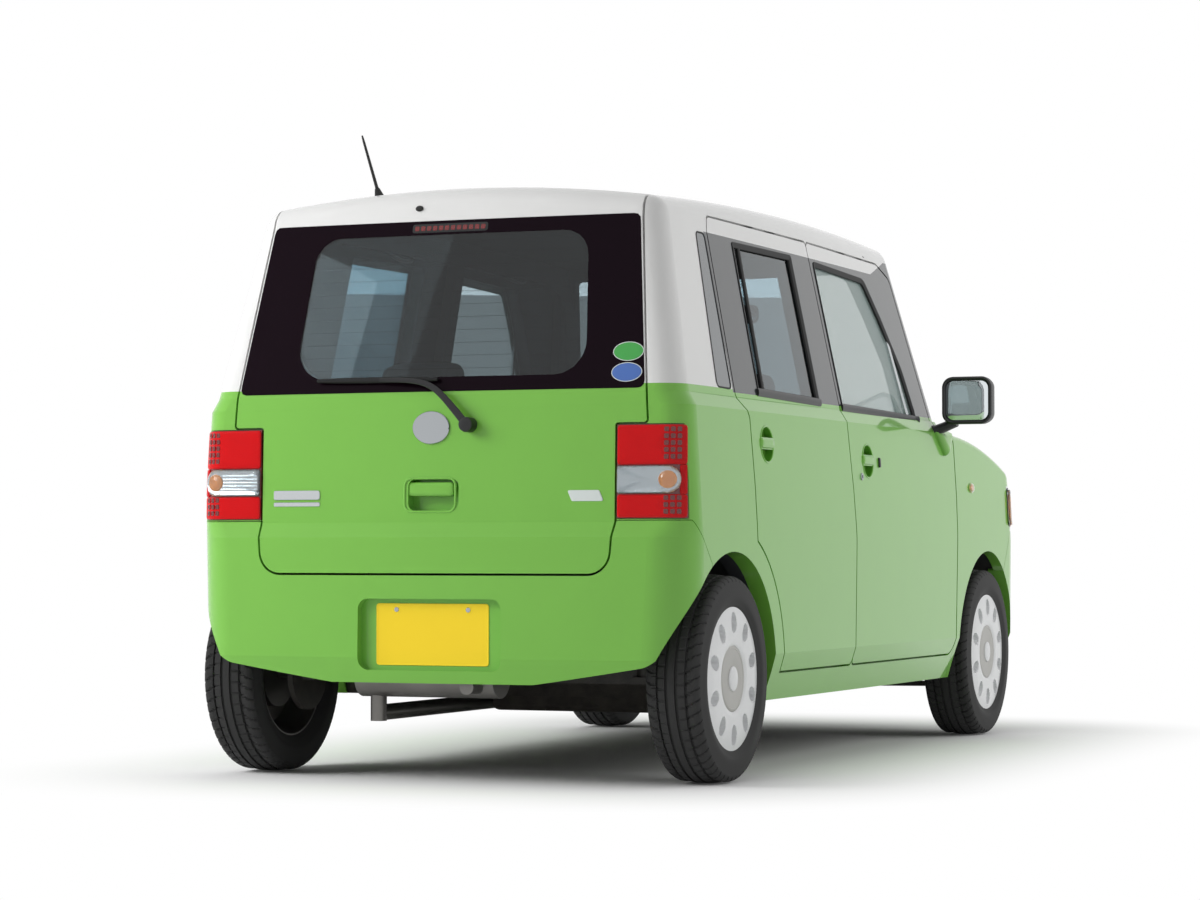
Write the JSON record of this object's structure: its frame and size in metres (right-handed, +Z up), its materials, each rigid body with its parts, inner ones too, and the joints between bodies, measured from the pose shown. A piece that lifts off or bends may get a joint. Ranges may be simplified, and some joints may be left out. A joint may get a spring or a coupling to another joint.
{
  "type": "kei car",
  "caption": "Small boxy two-tone hatchback with four side doors, opening tailgate and bonnet, steered front wheels and a furnished cabin.",
  "frame": {"origin": "on the ground, midway between the bumpers and the sides", "axes": "+X forwards, +Y to the car's left, +Z up"},
  "size_m": [3.3904, 1.83, 1.7662],
  "materials": {
    "bare_metal": "cast",
    "black_plastic": "grained black",
    "body_paint": "gloss apple-green paint",
    "clear_glass": "clear, light green tint",
    "clear_lens": "gloss, clear",
    "cover_silver": "silver paint",
    "dark_glass": "privacy tint",
    "floor_steel": "black underseal",
    "plate_yellow": "plain yellow",
    "red_lens": "gloss, translucent",
    "roof_paint": "gloss white paint",
    "running_gear": "satin black",
    "seat_cloth": "woven dark grey",
    "steel_pipe": "dull",
    "trim_plastic": "grained dark grey",
    "tyre_rubber": "matte"
  },
  "bodies": {
    "body": {"antenna": "black_plastic", "body_side_left": "body_paint", "body_side_right": "body_paint", "cowl": "black_plastic", "dashboard": "trim_plastic", "engine": "bare_metal", "exhaust": "steel_pipe", "floor_pan": "floor_steel", "front_bumper": "body_paint", "front_fender_left": "body_paint", "front_fender_right": "body_paint", "front_grille": "black_plastic", "front_seat_left": "seat_cloth", "front_seat_right": "seat_cloth", "front_suspension": "running_gear", "front_wheelhouse_left": "floor_steel", "front_wheelhouse_right": "floor_steel", "fuel_tank": "running_gear", "headlamps": "clear_lens", "load_board": "trim_plastic", "number_plates": "plate_yellow", "quarter_glasses": "dark_glass", "radiator_panel": "floor_steel", "rear_axle": "running_gear", "rear_bumper": "body_paint", "rear_seat": "seat_cloth", "roof": "roof_paint", "tail_lamps": "red_lens", "windscreen": "clear_glass", "windscreen_wipers": "black_plastic"},
    "tailgate": {"tailgate": "body_paint", "tailgate_glass": "dark_glass", "rear_wiper": "black_plastic"},
    "bonnet": {"bonnet": "body_paint"},
    "fuel_flap": {"fuel_flap": "body_paint"},
    "steering_wheel": {"steering_wheel": "black_plastic"},
    "front_door_left": {"front_door_left": "body_paint", "front_door_glass_left": "clear_glass", "door_mirror_left": "black_plastic"},
    "rear_door_left": {"rear_door_left": "body_paint", "rear_door_glass_left": "dark_glass"},
    "knuckle_left": {"knuckle_left": "running_gear"},
    "front_wheel_left": {"front_wheel_left": "cover_silver", "front_tyre_left": "tyre_rubber"},
    "rear_wheel_left": {"rear_wheel_left": "cover_silver", "rear_tyre_left": "tyre_rubber"},
    "front_door_right": {"front_door_right": "body_paint", "front_door_glass_right": "clear_glass", "door_mirror_right": "black_plastic"},
    "rear_door_right": {"rear_door_right": "body_paint", "rear_door_glass_right": "dark_glass"},
    "knuckle_right": {"knuckle_right": "running_gear"},
    "front_wheel_right": {"front_wheel_right": "cover_silver", "front_tyre_right": "tyre_rubber"},
    "rear_wheel_right": {"rear_wheel_right": "cover_silver", "rear_tyre_right": "tyre_rubber"}
  },
  "joints": [
    {"name": "front_door_left_hinge", "type": "hinge", "parent": "body", "child": "front_door_left", "pos_m": [0.777, 0.7375, 0.655], "axis": [0, 0.061, -0.9981], "range_deg": [0, 65]},
    {"name": "rear_door_left_hinge", "type": "hinge", "parent": "body", "child": "rear_door_left", "pos_m": [-0.2895, 0.7375, 0.655], "axis": [0, 0.061, -0.9981], "range_deg": [0, 75]},
    {"name": "steer_left", "type": "hinge", "parent": "body", "child": "knuckle_left", "pos_m": [1.1575, 0.595, 0.2785], "axis": [0, 0, 1], "range_deg": [-34, 34]},
    {"name": "front_wheel_left_spin", "type": "hinge", "parent": "knuckle_left", "child": "front_wheel_left", "pos_m": [1.1575, 0.655, 0.2785], "axis": [0, 1, 0], "continuous": true},
    {"name": "rear_wheel_left_spin", "type": "hinge", "parent": "body", "child": "rear_wheel_left", "pos_m": [-1.3325, 0.655, 0.2785], "axis": [0, 1, 0], "continuous": true},
    {"name": "front_door_right_hinge", "type": "hinge", "parent": "body", "child": "front_door_right", "pos_m": [0.777, -0.7375, 0.655], "axis": [0, 0.061, 0.9981], "range_deg": [0, 65]},
    {"name": "rear_door_right_hinge", "type": "hinge", "parent": "body", "child": "rear_door_right", "pos_m": [-0.2895, -0.7375, 0.655], "axis": [0, 0.061, 0.9981], "range_deg": [0, 75]},
    {"name": "steer_right", "type": "hinge", "parent": "body", "child": "knuckle_right", "pos_m": [1.1575, -0.595, 0.2785], "axis": [0, 0, 1], "range_deg": [-35, 35]},
    {"name": "front_wheel_right_spin", "type": "hinge", "parent": "knuckle_right", "child": "front_wheel_right", "pos_m": [1.1575, -0.655, 0.2785], "axis": [0, 1, 0], "continuous": true},
    {"name": "rear_wheel_right_spin", "type": "hinge", "parent": "body", "child": "rear_wheel_right", "pos_m": [-1.3325, -0.655, 0.2785], "axis": [0, 1, 0], "continuous": true},
    {"name": "steering_wheel_turn", "type": "hinge", "parent": "body", "child": "steering_wheel", "pos_m": [0.392, -0.335, 0.9], "axis": [-0.9063, 0, 0.4226], "range_deg": [-550, 550]},
    {"name": "tailgate_hinge", "type": "hinge", "parent": "body", "child": "tailgate", "pos_m": [-1.488, 0, 1.606], "axis": [0, 1, 0], "range_deg": [0, 80]},
    {"name": "bonnet_hinge", "type": "hinge", "parent": "body", "child": "bonnet", "pos_m": [0.866, 0, 1.047], "axis": [0, -1, 0], "range_deg": [0, 60]},
    {"name": "fuel_flap_hinge", "type": "hinge", "parent": "body", "child": "fuel_flap", "pos_m": [-1.336, 0.737, 0.822], "axis": [0, 0, -1], "range_deg": [0, 80]}
  ],
  "couplings": [
    {"joint": "steer_right", "follows": "steer_left", "ratio": 1},
    {"joint": "steering_wheel_turn", "follows": "steer_left", "ratio": 16}
  ]
}
